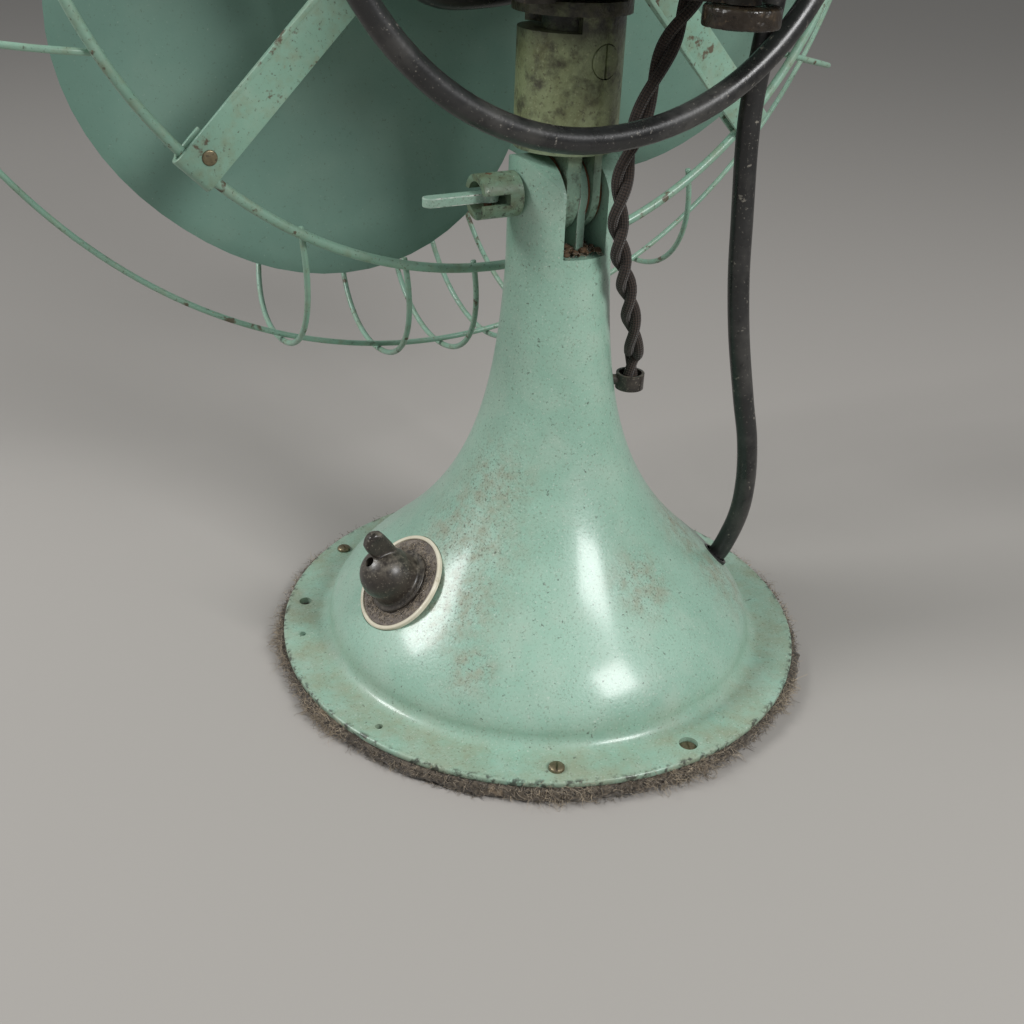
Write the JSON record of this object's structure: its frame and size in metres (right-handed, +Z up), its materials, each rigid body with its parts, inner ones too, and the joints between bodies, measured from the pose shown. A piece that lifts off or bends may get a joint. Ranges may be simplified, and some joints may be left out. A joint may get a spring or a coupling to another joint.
{
  "type": "oscillating desk fan",
  "caption": "Oscillating desk fan: bell-shaped cast base, tilting neck, wire guard round lobed blades, dial speed switch, worm-driven swivel, power cord wound round the motor.",
  "frame": {"origin": "centre of the felt pad's underside, which stands on the table", "axes": "+Z up along the column, -Y is the way the fan blows, +X is the side of the clamp lever and the switch"},
  "size_m": [0.4088, 0.2507, 0.4964],
  "materials": {
    "felt": "worn grey-brown felt with loose lint",
    "base_enamel": "sea-green semi-gloss enamel with grime and chips",
    "grimy_enamel": "sea-green enamel yellowed by oil",
    "guard_enamel": "sea-green enamel with rust at chips",
    "blade_enamel": "satin sea-green enamel",
    "bare_steel": "plain steel",
    "dark_steel": "oil-darkened steel",
    "rusty_steel": "rust-brown steel",
    "tarnished_screw": "tarnished plated screws",
    "lamination": "stacked iron sheets",
    "copper": "varnished copper wire",
    "bronze": "plain bronze",
    "greasy_iron": "greasy dark iron",
    "bakelite": "black moulded resin",
    "dial_black": "black printed plate",
    "dial_cream": "cream ring",
    "fibre": "brown vulcanised fibre",
    "rubber_black": "black rubber",
    "pin_brass": "bare pins",
    "brown_braid": "brown cotton braid"
  },
  "bodies": {
    "base": {"felt_pad": "felt", "base_shell": "base_enamel", "base_plate": "bare_steel", "flange_screws": "tarnished_screw", "switch_body": "bakelite", "switch_nut": "bare_steel", "dial_plate": "dial_black", "dial_rim": "dial_cream", "choke_core": "lamination", "choke_winding": "copper", "terminal_block": "bakelite", "cord_grommet": "rubber_black", "lead_bush": "bakelite", "fibre_washers": "fibre", "friction_plate": "dark_steel", "clamp_nut": "dark_steel", "power_cord_riser": "rubber_black", "motor_lead": "brown_braid"},
    "knob": {"switch_knob": "bakelite", "switch_shaft": "bare_steel", "knob_screw": "bare_steel"},
    "clamp": {"clamp_screw": "base_enamel", "lever_pin": "rusty_steel"},
    "lever": {"clamp_lever": "base_enamel"},
    "neck": {"neck": "grimy_enamel", "neck_screw": "tarnished_screw", "swivel_spindle": "bare_steel", "swivel_lug": "dark_steel", "thrust_washer": "fibre"},
    "head": {"swivel_saddle": "grimy_enamel", "motor_front_shell": "base_enamel", "motor_rear_shell": "base_enamel", "housing_screws": "tarnished_screw", "stator_core": "lamination", "stator_windings": "copper", "bearings": "bronze", "lead_grommet": "rubber_black", "gear_case": "base_enamel", "gear_cover": "base_enamel", "guard_straps": "guard_enamel", "strap_rivets": "rusty_steel", "guard_rear_ring": "guard_enamel", "guard_outer_ring": "guard_enamel", "guard_inner_ring": "guard_enamel", "guard_wires": "guard_enamel", "guard_badge": "guard_enamel", "power_cord_coil": "rubber_black", "plug_body": "bakelite", "plug_pins": "pin_brass"},
    "rotor": {"shaft": "bare_steel", "rotor_core": "lamination", "worm": "bare_steel", "blade_hub": "blade_enamel", "blades": "blade_enamel", "blade_rivets": "tarnished_screw", "hub_screw": "bare_steel"},
    "gear": {"worm_wheel": "bronze", "crank": "greasy_iron"},
    "link": {"crank_link": "dark_steel"}
  },
  "joints": [
    {"name": "knob_turn", "type": "hinge", "parent": "base", "child": "knob", "pos_m": [0.06046, 0.00211, 0.039], "axis": [0.7067, 0.0247, 0.7071], "range_deg": [-135, 0]},
    {"name": "clamp_turn", "type": "hinge", "parent": "base", "child": "clamp", "pos_m": [0, 0, 0.176], "axis": [1, 0, 0], "range_deg": [-90, 90]},
    {"name": "lever_fold", "type": "hinge", "parent": "clamp", "child": "lever", "pos_m": [0.0278, 0, 0.176], "axis": [0, 0, 1], "range_deg": [-90, 90]},
    {"name": "tilt", "type": "hinge", "parent": "base", "child": "neck", "pos_m": [0, 0, 0.176], "axis": [1, 0, 0], "range_deg": [-25, 15], "deforming": ["power_cord_riser", "motor_lead"]},
    {"name": "swivel", "type": "hinge", "parent": "neck", "child": "head", "pos_m": [0, 0, 0.235], "axis": [0, 0, 1], "range_deg": [-35, 35], "deforming": ["power_cord_riser", "motor_lead"]},
    {"name": "rotor_spin", "type": "hinge", "parent": "head", "child": "rotor", "pos_m": [0, 0, 0.292], "axis": [0, 1, 0], "continuous": true},
    {"name": "wheel_turn", "type": "hinge", "parent": "head", "child": "gear", "pos_m": [-0.025, 0.061, 0.292], "axis": [0, 0, 1], "continuous": true},
    {"name": "link_turn", "type": "hinge", "parent": "gear", "child": "link", "pos_m": [-0.017, 0.061, 0.2408], "axis": [0, 0, 1], "continuous": true}
  ],
  "couplings": [
    {"joint": "wheel_turn", "follows": "rotor_spin", "ratio": -0.033333},
    {"joint": "link_turn", "follows": "rotor_spin", "ratio": 0.033333}
  ]
}
